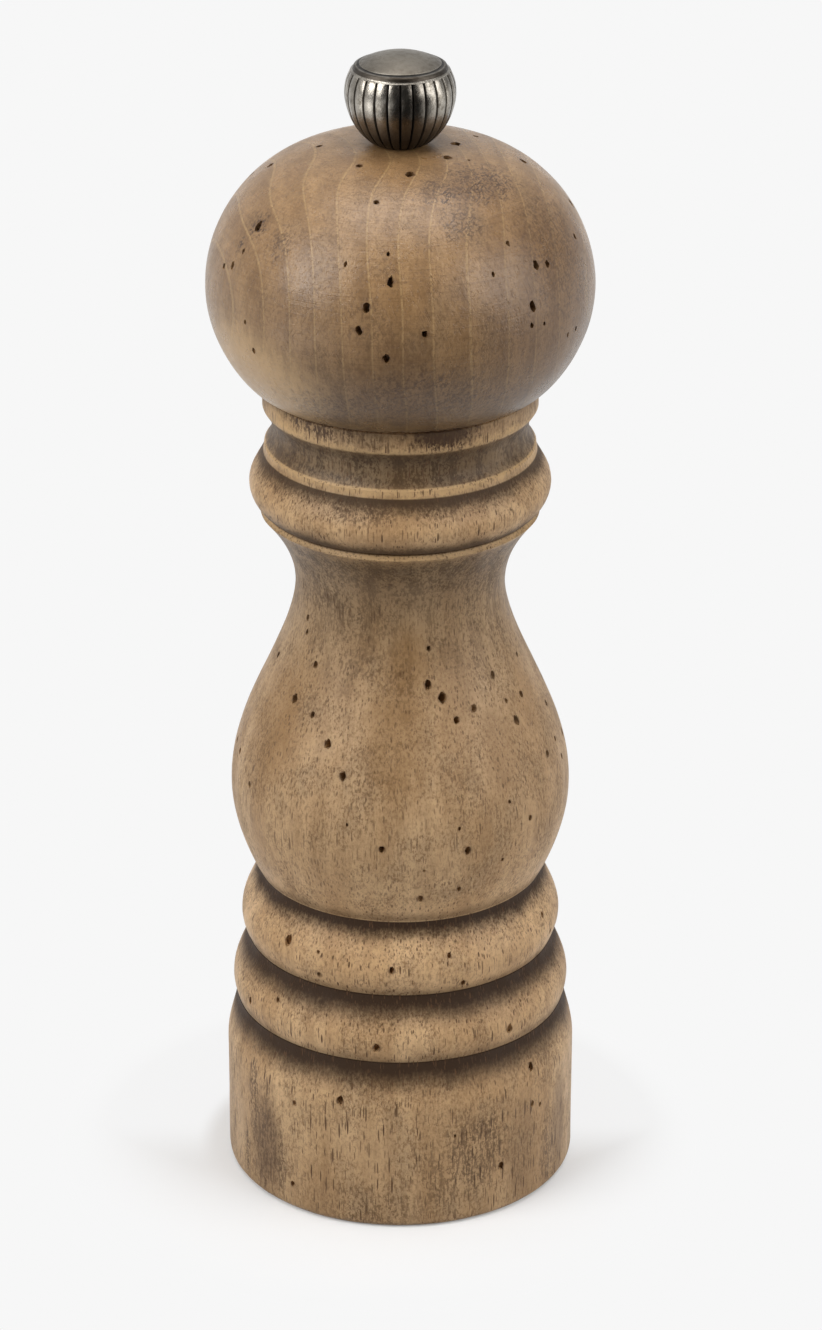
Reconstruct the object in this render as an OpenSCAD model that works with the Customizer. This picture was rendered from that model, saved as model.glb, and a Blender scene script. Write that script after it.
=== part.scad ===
// Classic turned pepper mill: a wooden body and head, a fluted metal knob that sets the grind,
// and a steel grinding mechanism in the base. Millimetres, +Z up, origin at the middle of the base.

/* [Base and beads] */
// Radius of the straight base
base_r = 33.1; // [32.5:0.1:36]
// Height of the straight part of the base
base_h = 24.2; // [20:0.1:45]
// Rounding of the base's bottom edge
base_edge = 1.4; // [0.4:0.1:3]
// Height of the shoulder from the straight base to the lower groove
shoulder_h = 10.2; // [6:0.1:16]
// Radius in the lower groove
low_groove_r = 31.2; // [29:0.1:31.6]
// Height from the lower groove to the crest of the lower bead
low_bead_rise = 3.6; // [2:0.1:6]
// Radius at the crest of the lower bead
low_bead_r = 31.8; // [31.4:0.1:35]
// Height from the lower bead's crest to the middle groove
low_bead_fall = 9.4; // [6:0.1:14]
// Radius in the middle groove
mid_groove_r = 29.0; // [27:0.1:29.8]
// Height from the middle groove to the crest of the upper bead
high_bead_rise = 4.2; // [2:0.1:6]
// Radius at the crest of the upper bead
high_bead_r = 30.1; // [29.4:0.1:34]
// Height from the upper bead's crest to the upper groove
high_bead_fall = 10.0; // [6:0.1:14]
// Radius in the upper groove
high_groove_r = 26.8; // [24:0.1:27.2]

/* [Belly and waist] */
// Height of the lip above the upper groove
lip_rise = 1.1; // [0.6:0.1:3]
// Radius at the lip, where the belly begins
lip_r = 27.4; // [27:0.1:29]
// Height from the lip to the widest part of the belly
belly_rise = 16.1; // [10:0.1:26]
// Radius of the belly
belly_r = 31.7; // [28:0.1:38]
// Height from the belly to the waist
belly_fall = 40.5; // [25:0.1:70]
// Radius of the waist
waist_r = 19.3; // [18:0.1:24]
// Height from the waist to the ridge under the collar
flare_h = 14.4; // [8:0.1:24]
// Radius of the ridge under the collar
ridge_r = 25.6; // [24.9:0.1:29]

/* [Collar and neck] */
// Height of the narrow groove between ridge and collar
collar_groove_h = 1.0; // [0.5:0.1:2]
// Radius in the groove between ridge and collar
collar_groove_r = 24.8; // [22:0.1:25.4]
// Height from that groove to the crest of the collar
collar_rise = 4.6; // [2:0.1:8]
// Radius of the collar
collar_r = 27.6; // [26:0.1:32]
// Height from the collar's crest to the rim above it
collar_fall = 7.4; // [4:0.1:12]
// Radius of the rims below and above the neck
rim_r = 24.8; // [24:0.1:27]
// Radius of the hollow neck
neck_r = 23.4; // [19:0.1:24.2]
// Height from the lower rim to the middle of the neck
neck_low_h = 3.5; // [2:0.1:6]
// Height from the middle of the neck to the upper rim
neck_high_h = 3.6; // [2:0.1:6]
// Height of the ring under the head
ring_h = 4.5; // [2.5:0.1:8]
// Radius of the ring, and of the head's lower edge
ring_r = 25.1; // [24.5:0.1:28]

/* [Head] */
// Radius of the head
head_r = 35.0; // [30:0.1:42]
// Height from the seam to the head's widest part
head_rise = 18.8; // [10:0.1:30]
// Height from the head's widest part to its crown
head_fall = 26.3; // [20:0.1:40]
// Length of the tenon that centres the head in the body
tenon_len = 12; // [6:0.5:20]
// Gap between the tenon and the bore of the body
tenon_play = 0.3; // [0.1:0.05:0.8]
// Thickness of the wood round the small hole in the crown
crown_web = 6; // [4:0.5:9]

/* [Knob] */
// Height of the knob
knob_h = 16.6; // [15:0.1:24]
// Radius of the knob
knob_r = 9.9; // [8.6:0.1:14]
// Radius of the knob's foot
knob_foot_r = 3.9; // [3.4:0.1:5]
// Height from the foot to the knob's widest part
knob_rise = 9.5; // [6:0.1:12]
// Height from the foot to the rim of the domed top
knob_rim_rise = 14.5; // [13.5:0.1:15.5]
// Radius of the domed top
knob_rim_r = 7.6; // [5.5:0.1:8.2]
// Number of flutes round the knob
flute_count = 26; // [12:1:32]
// Width of the groove between two flutes
flute_w = 0.45; // [0.3:0.05:0.6]
// Depth of the groove between two flutes
flute_d = 0.5; // [0.3:0.05:0.8]
// Height of the smooth band between the grooves and the domed top
knob_band_h = 1.4; // [0.8:0.1:2.5]

/* [Bores in the wood] */
// Radius of the bore that holds the peppercorns
chamber_r = 14.5; // [11:0.1:15.5]
// Gap between the mechanism's flange and the wall of the recess under the base
recess_play = 0.7; // [0.3:0.1:2]
// Depth of the recess under the base
recess_d = 7; // [6.6:0.1:10]
// Gap between the mechanism's housing and the wood round it
pocket_play = 1.2; // [1:0.1:1.6]
// Gap above the housing in its pocket
pocket_head = 0.6; // [0.2:0.1:2]

/* [Housing and retaining bar] */
// Outer radius of the housing's wall
housing_r = 19; // [18.4:0.1:19.6]
// Height of the housing above its flange
housing_len = 30.5; // [28:0.1:36]
// Thickness of the housing's sheet steel
sheet = 1.0; // [0.6:0.1:1.2]
// Radius of the housing's flange
flange_r = 26.3; // [25.8:0.1:26.7]
// Width of the stop bead that is rolled into the housing's wall
stop_bead_w = 1.2; // [0.8:0.1:1.6]
// Thickness of the retaining bar
bar_t = 1.5; // [1:0.1:2.4]
// Width of the retaining bar
bar_w = 9; // [7:0.1:12]
// Radius of a retaining screw's shank
screw_r = 1.4; // [1.1:0.05:1.6]
// Length of a retaining screw under its head
screw_len = 15; // [10:0.5:22]
// Radius of a retaining screw's head
screw_head_r = 2.7; // [2.2:0.1:2.9]
// Height of a retaining screw's head
screw_head_h = 1.7; // [1:0.1:2.2]

/* [Grinding teeth] */
// Height of the stator
stator_h = 16; // [14:0.1:18]
// Height of the rotor
rotor_h = 16.4; // [14.5:0.1:18]
// Radius over the rotor's teeth at its lower edge
rotor_r = 14.2; // [12.5:0.1:14.6]
// Height of the fine teeth on the rotor
fine_h = 6.4; // [4:0.1:8]
// Radius over the rotor's teeth at its upper end
rotor_top_r = 8; // [7.4:0.1:9]
// Radius over the stator's teeth at its mouth
mouth_r = 14.8; // [13.6:0.1:15.4]
// Taper of the fine teeth from the axis
taper = 18; // [12:0.5:24]
// Gap between the teeth of rotor and stator at the middle setting
grind_gap = 0.4; // [0.3:0.05:0.8]
// Depth of the fine teeth
fine_depth = 0.7; // [0.3:0.05:1]
// Depth of the coarse breaking teeth
coarse_depth = 1.3; // [0.8:0.05:1.6]
// Number of coarse breaking teeth
coarse_teeth = 8; // [6:1:10]
// Number of fine teeth for each coarse one
fine_per_coarse = 4; // [3:1:5]

/* [Shaft and spring] */
// Width of the square drive shaft
shaft_w = 5.5; // [4.6:0.1:5.8]
// Radius of the threaded end and of the knob's bore, without clearance
thread_r = 2.5; // [1.8:0.1:2.7]
// Radius of the journal at the shaft's lower end
journal_r = 2.2; // [1.5:0.1:2.6]
// Thickness of the collar that carries the rotor
collar_t = 0.9; // [0.6:0.1:1.2]
// Thickness of the washers
washer_t = 0.8; // [0.5:0.1:1]
// How far the rotor rises from the middle setting to the finest
fine_travel = 0.6; // [0.3:0.1:0.8]
// How far the rotor sinks from the middle setting to the coarsest
coarse_travel = 1.2; // [0.6:0.1:1.2]
// Thickness of the bridge over the spring
bridge_t = 1.5; // [1:0.1:2]
// Width of the bridge over the spring
bridge_w = 8.6; // [8.4:0.1:12]
// Radius of a rivet's shank
rivet_r = 1.2; // [0.8:0.1:1.5]
// Radius of the spring's wire
wire_r = 0.45; // [0.3:0.05:0.5]
// Number of turns of the spring
spring_turns = 6; // [4:1:7]

/* [Drive plate] */
// Inset of the drive plate's edge from the tenon's
plate_inset = 1.2; // [0.6:0.1:2]
// Thickness of the drive plate
plate_t = 1.2; // [0.8:0.1:2]
// Radius of a drive-plate screw's shank
plate_screw_r = 1.0; // [0.7:0.05:1.2]
// Length of a drive-plate screw
plate_screw_len = 10; // [6:0.5:11]

/* [Hidden] */
$fn = 96;

// Colours
beech = "#a98d68";
pewter = "#8a8680";
steel = "#9a9da0";
hard_steel = "#5c5e60";
brass = "#b79a56";

// Points on each quarter of a turned curve
steps = 12;
// Points on the broad crown of the head
crown_steps = 24;
// How full a turned quarter is: 2 is a soft S, 1 a quarter round, less than 1 fuller than round
soft = 1.6;
pear = 1.7;
cushion = 0.93;
ogee = 2;
bulge = 0.6;
dome = 0.655;
crown = 0.315;
knob_shoulder = 0.55;
// Power of a cove's flare from its hollow to its edge
cove_flare = 2;
// Points on the rounded bottom edge of the base
edge_steps = 4;

// Small clearances
slip = 0.05; // between pieces that are fixed to each other
run = 0.08; // round a bearing, between radii
cut = 1; // how far a cutting body reaches past what it cuts
screw_head_edge = 0.6; // chamfer of a retaining screw's head
screw_edge = 0.2; // from a retaining screw's head to the flange's edge
bar_inset = 0.4; // from the retaining bar's end to the flange's edge
plate_screw_inset = 4; // from a drive-plate screw to the plate's edge
rotor_space = 0.4; // under the rotor at the coarsest setting
shaft_space = 3; // over the square shaft at the finest setting
thread_space = 0.4; // over the thread at the finest setting
stop_space = 0.1; // between the stator and the stop bead

// Heights of the turned outline
low_groove_z = base_h + shoulder_h;
low_bead_z = low_groove_z + low_bead_rise;
mid_groove_z = low_bead_z + low_bead_fall;
high_bead_z = mid_groove_z + high_bead_rise;
high_groove_z = high_bead_z + high_bead_fall;
lip_z = high_groove_z + lip_rise;
belly_z = lip_z + belly_rise;
waist_z = belly_z + belly_fall;
ridge_z = waist_z + flare_h;
collar_groove_z = ridge_z + collar_groove_h;
collar_z = collar_groove_z + collar_rise;
low_rim_z = collar_z + collar_fall;
neck_z = low_rim_z + neck_low_h;
high_rim_z = neck_z + neck_high_h;
seam_z = high_rim_z + ring_h;
head_z = seam_z + head_rise;
crown_z = head_z + head_fall;
ring_edge = 0.5; // chamfer at the ring's edges
crease = 0.1; // how much deeper a bead's lower flank starts than the groove

// Head and drive plate
tenon_r = chamber_r - tenon_play;
tenon_z = seam_z - tenon_len;
tenon_edge = 0.8;
plate_r = tenon_r - plate_inset;
plate_z = tenon_z - plate_t;
plate_screw_x = plate_r - plate_screw_inset;
shaft_corner_r = shaft_w / sqrt(2);
shaft_gap = 0.5; // round the shaft's corners in the head
thread_gap = 0.4; // round the thread in the crown
head_bore_r = shaft_corner_r + shaft_gap;
crown_bore_r = thread_r + thread_gap;
crown_step_z = crown_z - crown_web;

// Shaft
square_top_z = crown_step_z - fine_travel - shaft_space;
thread_reach = 11; // how far the thread reaches into the knob
thread_top_z = crown_z + thread_reach;
knob_bore_top_z = thread_top_z + fine_travel + thread_space;
thread_edge = 0.5;

// Housing, bar and stator
recess_r = flange_r + recess_play;
screw_x = flange_r - screw_head_r - screw_edge;
flange_z = recess_d - sheet;
housing_top_z = recess_d + housing_len;
housing_in_r = housing_r - sheet;
pocket_r = housing_r + pocket_play;
pocket_top_z = housing_top_z + pocket_head;
bar_z = flange_z - bar_t;
bar_x = flange_r - bar_inset;
stator_r = housing_in_r - slip;
stator_top_z = flange_z + stator_h;
stop_z = stator_top_z + stop_space;
stop_depth = 0.9;

// Rotor, which hangs above the bar by the way down to the coarsest setting
rotor_z = flange_z + coarse_travel + rotor_space;
rotor_top_z = rotor_z + rotor_h;
fine_top_z = rotor_z + fine_h;
socket_wall = 1.2; // from the shaft's corners to the wall of the rotor's socket
washer_gap = 0.2; // round the washer in the socket
collar_inset = 0.3; // from the rotor's face up to the shaft's collar
collar_lip = 0.1; // how far the collar stands past the shaft's corners
journal_reach = 2.4; // how far the journal stands under the bar
socket_r = shaft_corner_r + socket_wall;
washer_r = socket_r - washer_gap;
collar_z0 = rotor_z + collar_inset;
socket_d = collar_inset + collar_t + washer_t;
shaft_collar_r = shaft_corner_r + collar_lip;
journal_z = bar_z - journal_reach;

// Bridge, spring and its washer
bridge_inset = 0.5; // from the housing's rim down to the bridge
bridge_leg_gap = 2; // between the stop bead and the bridge's legs
bridge_top_z = housing_top_z - bridge_inset;
bridge_z = bridge_top_z - bridge_t;
bridge_leg_z = stop_z + stop_bead_w + bridge_leg_gap;
bridge_r = housing_in_r - slip;
bridge_hole_r = shaft_corner_r + run;
rivet_z = (bridge_leg_z + bridge_z) / 2;
rivet_rim = 0.8; // how far a rivet's head stands past its shank
rivet_head_r = rivet_r + rivet_rim;
rivet_head_t = 0.7;
// A rivet's inner head lies flat against the curved inside of the bridge's leg
rivet_seat = sqrt(pow(bridge_r - bridge_t, 2) - pow(rivet_head_r, 2)) - slip;
spring_gap = 0.6; // between the shaft's corners and the spring
spring_rim = 0.5; // how far the spring washer stands past the spring
spring_top_z = bridge_z - washer_t;
spring_r = shaft_corner_r + wire_r + spring_gap;
spring_washer_r = spring_r + wire_r + spring_rim;

// Points of the wire's outline and per turn of the spring
wire_sides = 8;
coil_steps = 14;
// Points round each toothed ring, and rings in the two zones of teeth
tooth_points = 3;
ring_points = coarse_teeth * fine_per_coarse * tooth_points;
fine_rings = 5;
coarse_rings = 8;
fine_twist = 12;
coarse_twist = 50;
tooth_step = 0.3; // height of the step from the fine teeth to the coarse ones

// A turned quarter from its crest to its foot, both as [radius, height]
function quarter(crest, foot, fullness, count = steps) = [
    for (k = [0:count])
        let (t = (1 - cos(180 * k / count)) / 2)
        [foot.x + (crest.x - foot.x) * pow(max(cos(90 * t), 0), fullness),
         crest.y + (foot.y - crest.y) * t]];

// A hollow flare from its foot to its edge
function cove(foot, edge, count = steps) = [
    for (k = [0:count])
        let (t = k / count)
        [foot.x + (edge.x - foot.x) * pow(t, cove_flare), foot.y + (edge.y - foot.y) * t]];

function reversed(list) = [for (k = [len(list) - 1:-1:0]) list[k]];

// The rounded bottom edge of the base
function base_corner() = [
    for (k = [0:edge_steps])
        let (a = -90 + 90 * k / edge_steps)
        [base_r - base_edge + base_edge * cos(a), base_edge + base_edge * sin(a)]];

body_outline = concat(
    base_corner(),
    quarter([base_r, base_h], [low_groove_r, low_groove_z], soft),
    reversed(quarter([low_bead_r, low_bead_z], [low_groove_r - crease, low_groove_z], 1)),
    quarter([low_bead_r, low_bead_z], [mid_groove_r, mid_groove_z], soft),
    reversed(quarter([high_bead_r, high_bead_z], [mid_groove_r - crease, mid_groove_z], 1)),
    quarter([high_bead_r, high_bead_z], [high_groove_r, high_groove_z], soft),
    reversed(quarter([belly_r, belly_z], [lip_r, lip_z], cushion)),
    quarter([belly_r, belly_z], [waist_r, waist_z], pear, 2 * steps),
    cove([waist_r, waist_z], [ridge_r, ridge_z]),
    reversed(quarter([collar_r, collar_z], [collar_groove_r, collar_groove_z], bulge)),
    quarter([collar_r, collar_z], [rim_r, low_rim_z], ogee),
    reversed(cove([neck_r, neck_z], [rim_r, low_rim_z])),
    cove([neck_r, neck_z], [rim_r, high_rim_z]),
    [[ring_r, high_rim_z + ring_edge],
     [ring_r, seam_z - ring_edge],
     [ring_r - ring_edge, seam_z]]);

head_outline = concat(
    reversed(quarter([head_r, head_z], [ring_r, seam_z], dome, 2 * steps)),
    quarter([head_r, head_z], [0, crown_z], crown, crown_steps));

// The knob's outline above its foot, without the domed top
knob_lower = reversed(quarter([knob_r, knob_rise], [knob_foot_r, 0], bulge));
knob_upper = quarter([knob_r, knob_rise], [knob_rim_r, knob_rim_rise], knob_shoulder);
knob_dome = [
    for (k = [0:steps])
        let (r = knob_rim_r * (1 - k / steps))
        [r, knob_h - (knob_h - knob_rim_rise) * pow(r / knob_rim_r, 2)]];

// Radius over the teeth at a height: rotor and stator share the fine taper
function fine_tip(z) = rotor_r - (z - rotor_z) * tan(taper);

// One row per toothed ring: height, tip radius, depth, twist and points per tooth
function tooth_rows(fine_z, coarse_z, gap, end_r, hand) = concat(
    [for (k = [0:fine_rings - 1])
        let (z = fine_z + (fine_top_z - fine_z) * k / (fine_rings - 1))
        [z, fine_tip(z) + gap, fine_depth, hand * fine_twist * k / (fine_rings - 1), tooth_points]],
    [for (k = [0:coarse_rings - 1])
        let (t = k / (coarse_rings - 1), z = fine_top_z + tooth_step, tip = fine_tip(z) + gap)
        [z + (coarse_z - z) * t, tip + (end_r - tip) * t, coarse_depth,
         hand * (fine_twist + coarse_twist * t), fine_per_coarse * tooth_points]]);

// A saw-toothed ring: side is -1 for teeth that stand outward, 1 for teeth that stand inward
function tooth_ring(row, side) = [
    for (i = [0:ring_points - 1])
        let (a = 360 * i / ring_points + row[3],
             r = row[1] + side * row[2] * (i % row[4]) / (row[4] - 1))
        [r * cos(a), r * sin(a), row[0]]];

// The rows with one more at each end, past the piece that they cut
function past_ends(rows) =
    let (last = rows[len(rows) - 1])
    concat(
        [[rows[0][0] - cut, rows[0][1], rows[0][2], rows[0][3], rows[0][4]]],
        rows,
        [[last[0] + cut, last[1], last[2], last[3], last[4]]]);

// A closed skin over rings that have the same number of points
module skin(rings) {
    n = len(rings[0]);
    last = len(rings) - 1;
    polyhedron(
        points = [for (ring = rings, p = ring) p],
        faces = concat(
            [[for (i = [0:n - 1]) i]],
            [[for (i = [n - 1:-1:0]) last * n + i]],
            [for (k = [0:last - 1], i = [0:n - 1])
                let (j = (i + 1) % n)
                [k * n + i, (k + 1) * n + i, (k + 1) * n + j]],
            [for (k = [0:last - 1], i = [0:n - 1])
                let (j = (i + 1) % n)
                [k * n + i, (k + 1) * n + j, k * n + j]]));
}

// A square hole or bar on the axis
module square_bar(width, low_z, high_z) {
    translate([-width / 2, -width / 2, low_z])
        cube([width, width, high_z - low_z]);
}

// A round hole or bar on the axis
module round_bar(radius, low_z, high_z) {
    translate([0, 0, low_z])
        cylinder(r = radius, h = high_z - low_z);
}

// Copies for the two ends of a piece that spans the axis
module both_ends() {
    for (turn = [0, 180])
        rotate([0, 0, turn])
            children();
}

module wood_body() {
    color(beech)
        difference() {
            rotate_extrude()
                polygon(concat([[0, 0]], body_outline, [[0, seam_z]]));
            round_bar(recess_r, -cut, recess_d);
            round_bar(pocket_r, recess_d - cut, pocket_top_z);
            round_bar(chamber_r, pocket_top_z - cut, seam_z + cut);
            both_ends()
                translate([screw_x, 0, recess_d - cut])
                    cylinder(r = screw_r + slip, h = screw_len + cut);
        }
}

module wood_head() {
    color(beech)
        difference() {
            rotate_extrude()
                polygon(concat(
                    [[0, tenon_z],
                     [tenon_r - tenon_edge, tenon_z],
                     [tenon_r, tenon_z + tenon_edge],
                     [tenon_r, seam_z]],
                    head_outline));
            round_bar(head_bore_r, tenon_z - cut, crown_step_z);
            round_bar(crown_bore_r, crown_step_z - cut, crown_z + cut);
            both_ends()
                translate([plate_screw_x, 0, tenon_z - cut])
                    cylinder(r = plate_screw_r + slip, h = plate_screw_len + cut);
        }
}

// A blade that cuts one groove between two flutes down the knob's side
module flute_cut() {
    top = knob_rim_rise - knob_band_h;
    side = [
        for (p = concat(knob_lower, knob_upper))
            if (p.y <= top)
                [p.x - flute_d, p.y]];
    rotate([90, 0, 0])
        linear_extrude(flute_w, center = true)
            polygon(concat(
                [[side[0].x, -cut]],
                side,
                [[knob_r + cut, top], [knob_r + cut, -cut]]));
}

module knob() {
    color(pewter)
        translate([0, 0, crown_z])
            difference() {
                rotate_extrude()
                    polygon(concat([[0, 0]], knob_lower, knob_upper, knob_dome));
                round_bar(thread_r + run, -cut, knob_bore_top_z - crown_z);
                for (k = [0:flute_count - 1])
                    rotate([0, 0, 360 * (k + 0.5) / flute_count])
                        flute_cut();
            }
}

module drive_plate() {
    color(steel)
        difference() {
            round_bar(plate_r, plate_z, tenon_z);
            square_bar(shaft_w + 2 * run, plate_z - cut, tenon_z + cut);
            both_ends()
                translate([plate_screw_x, 0, plate_z])
                    countersink(plate_screw_r + slip, plate_t, cut);
        }
}

// A countersunk hole or head that widens from the shank to twice its radius
module countersink(radius, depth, reach) {
    cylinder(r1 = 2 * radius, r2 = radius, h = depth);
    translate([0, 0, -reach])
        cylinder(r = 2 * radius, h = reach);
    cylinder(r = radius, h = depth + reach);
}

module drive_plate_screws() {
    color(steel)
        both_ends()
            translate([plate_screw_x, 0, plate_z]) {
                cylinder(r1 = 2 * plate_screw_r, r2 = plate_screw_r, h = plate_t);
                cylinder(r = plate_screw_r, h = plate_screw_len);
            }
}

module drive_shaft() {
    color(steel) {
        round_bar(journal_r, journal_z, collar_z0);
        round_bar(shaft_collar_r, collar_z0, collar_z0 + collar_t);
        square_bar(shaft_w, collar_z0 + collar_t, square_top_z);
        round_bar(thread_r, square_top_z, thread_top_z - thread_edge);
        translate([0, 0, thread_top_z - thread_edge])
            cylinder(r1 = thread_r, r2 = thread_r - thread_edge, h = thread_edge);
    }
}

module rotor() {
    rows = tooth_rows(rotor_z, rotor_top_z, 0, rotor_top_r, 1);
    color(hard_steel)
        difference() {
            intersection() {
                skin([for (row = past_ends(rows)) tooth_ring(row, -1)]);
                round_bar(rotor_r + cut, rotor_z, rotor_top_z);
            }
            round_bar(socket_r, rotor_z - cut, rotor_z + socket_d);
            square_bar(shaft_w + 2 * slip, rotor_z, rotor_top_z + cut);
        }
}

module rotor_washer() {
    low_z = collar_z0 + collar_t;
    color(steel)
        difference() {
            round_bar(washer_r, low_z, low_z + washer_t);
            square_bar(shaft_w + 2 * slip, low_z - cut, low_z + washer_t + cut);
        }
}

module stator() {
    rows = tooth_rows(flange_z, stator_top_z, grind_gap, mouth_r, -1);
    color(hard_steel)
        difference() {
            round_bar(stator_r, flange_z, stator_top_z);
            skin([for (row = past_ends(rows)) tooth_ring(row, 1)]);
        }
}

module mechanism_housing() {
    stop_r = housing_in_r - stop_depth;
    stop_top_z = stop_z + stop_bead_w;
    color(steel)
        difference() {
            rotate_extrude()
                polygon([
                    [housing_in_r, flange_z],
                    [flange_r, flange_z],
                    [flange_r, recess_d],
                    [housing_r, recess_d],
                    [housing_r, housing_top_z],
                    [housing_in_r, housing_top_z],
                    [housing_in_r, stop_top_z],
                    [stop_r, stop_top_z - stop_bead_w / 4],
                    [stop_r, stop_z + stop_bead_w / 4],
                    [housing_in_r, stop_z]]);
            both_ends() {
                translate([screw_x, 0, flange_z - cut])
                    cylinder(r = screw_r + slip, h = sheet + 2 * cut);
                rivet_hole();
            }
        }
}

// A hole for a rivet, outward from inside the bridge's leg
module rivet_hole() {
    translate([housing_in_r - bridge_t - cut, 0, rivet_z])
        rotate([0, 90, 0])
            cylinder(r = rivet_r + slip, h = bridge_t + sheet + 2 * cut);
}

module spring_bridge() {
    color(steel)
        difference() {
            intersection() {
                round_bar(bridge_r, bridge_leg_z, bridge_top_z);
                translate([-bridge_r, -bridge_w / 2, bridge_leg_z])
                    cube([2 * bridge_r, bridge_w, bridge_top_z - bridge_leg_z]);
            }
            round_bar(bridge_r - bridge_t, bridge_leg_z - cut, bridge_z);
            round_bar(bridge_hole_r, bridge_z - cut, bridge_top_z + cut);
            both_ends()
                rivet_hole();
        }
}

module bridge_rivets() {
    color(brass)
        both_ends()
            translate([0, 0, rivet_z])
                rotate([0, 90, 0]) {
                    translate([0, 0, rivet_seat - rivet_head_t])
                        cylinder(r = rivet_head_r, h = rivet_head_t);
                    translate([0, 0, rivet_seat])
                        cylinder(r = rivet_r, h = housing_r - rivet_seat);
                    translate([0, 0, housing_r])
                        cylinder(r = rivet_head_r, h = rivet_head_t);
                }
}

// Height of the wire after some turns: the end turns lie closed
function coil_z(turn) =
    let (lead = 2 * wire_r + slip,
         low = rotor_top_z + wire_r + slip,
         high = spring_top_z - wire_r - slip,
         open = high - low - 2 * lead,
         active = spring_turns - 2)
    low + lead * min(turn, 1) + open * min(max(turn - 1, 0), active) / active
        + lead * max(turn - 1 - active, 0);

module spring() {
    color(steel)
        skin([
            for (k = [0:spring_turns * coil_steps])
                let (turn = k / coil_steps, a = 360 * turn)
                [for (i = [0:wire_sides - 1])
                    let (b = -360 * i / wire_sides, r = spring_r + wire_r * cos(b))
                    [r * cos(a), r * sin(a), coil_z(turn) + wire_r * sin(b)]]]);
}

module spring_washer() {
    color(brass)
        difference() {
            round_bar(spring_washer_r, spring_top_z, bridge_z);
            round_bar(bridge_hole_r, spring_top_z - cut, bridge_z + cut);
        }
}

module retaining_bar() {
    color(steel)
        difference() {
            intersection() {
                round_bar(bar_x, bar_z, flange_z);
                translate([-bar_x, -bar_w / 2, bar_z])
                    cube([2 * bar_x, bar_w, bar_t]);
            }
            round_bar(journal_r + run, bar_z - cut, flange_z + cut);
            both_ends()
                translate([screw_x, 0, bar_z - cut])
                    cylinder(r = screw_r + slip, h = bar_t + 2 * cut);
        }
}

module retaining_screws() {
    color(steel)
        both_ends()
            translate([screw_x, 0, bar_z]) {
                cylinder(r = screw_r, h = screw_len);
                translate([0, 0, -screw_head_h])
                    cylinder(r1 = screw_head_r - screw_head_edge, r2 = screw_head_r, h = screw_head_h);
            }
}

wood_body();
wood_head();
knob();
drive_plate();
drive_plate_screws();
drive_shaft();
rotor();
rotor_washer();
stator();
mechanism_housing();
spring_bridge();
bridge_rivets();
spring();
spring_washer();
retaining_bar();
retaining_screws();
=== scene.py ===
import math
import random
import bpy
import numpy as np
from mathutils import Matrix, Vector, noise


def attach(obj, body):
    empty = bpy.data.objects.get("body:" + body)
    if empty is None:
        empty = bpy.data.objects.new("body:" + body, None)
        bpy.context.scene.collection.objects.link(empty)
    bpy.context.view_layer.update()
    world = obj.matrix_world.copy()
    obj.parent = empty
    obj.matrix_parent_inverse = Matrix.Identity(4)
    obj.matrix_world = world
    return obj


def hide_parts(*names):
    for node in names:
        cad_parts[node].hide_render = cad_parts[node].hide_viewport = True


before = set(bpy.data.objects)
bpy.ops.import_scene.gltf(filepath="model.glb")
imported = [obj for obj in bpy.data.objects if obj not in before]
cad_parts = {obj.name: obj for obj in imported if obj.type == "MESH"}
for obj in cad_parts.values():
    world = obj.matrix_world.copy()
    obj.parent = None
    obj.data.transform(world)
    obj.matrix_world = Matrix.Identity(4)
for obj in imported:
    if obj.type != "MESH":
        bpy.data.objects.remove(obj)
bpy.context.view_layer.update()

mm = 0.001
outlineStep = 0.7    # the longest stretch of a turned outline, in millimetres
sharpFrom = 35       # degrees between two faces from which their edge is sharp
random.seed(22)
print("frame loaded,", len(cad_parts), "nodes")


def tone(red, green, blue):
    # a screen colour from 0 to 255, as the linear colour that a shader takes
    def linear(part):
        part = part / 255
        return part / 12.92 if part <= 0.04045 else ((part + 0.055) / 1.055) ** 2.4
    return (linear(red), linear(green), linear(blue), 1.0)


def clamped(value):
    return min(1.0, max(0.0, value))


class Signal:
    # one output of a node, with plain arithmetic
    def __init__(self, look, socket):
        self.look, self.socket = look, socket

    def also(self, output):
        return Signal(self.look, self.socket.node.outputs[output])

    def __add__(self, other):
        return self.look.maths("ADD", self, other)

    def __sub__(self, other):
        return self.look.maths("SUBTRACT", self, other)

    def __rsub__(self, other):
        return self.look.maths("SUBTRACT", other, self)

    def __mul__(self, other):
        return self.look.maths("MULTIPLY", self, other)

    def __truediv__(self, other):
        return self.look.maths("DIVIDE", self, other)

    def __rtruediv__(self, other):
        return self.look.maths("DIVIDE", other, self)

    __radd__ = __add__
    __rmul__ = __mul__


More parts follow.
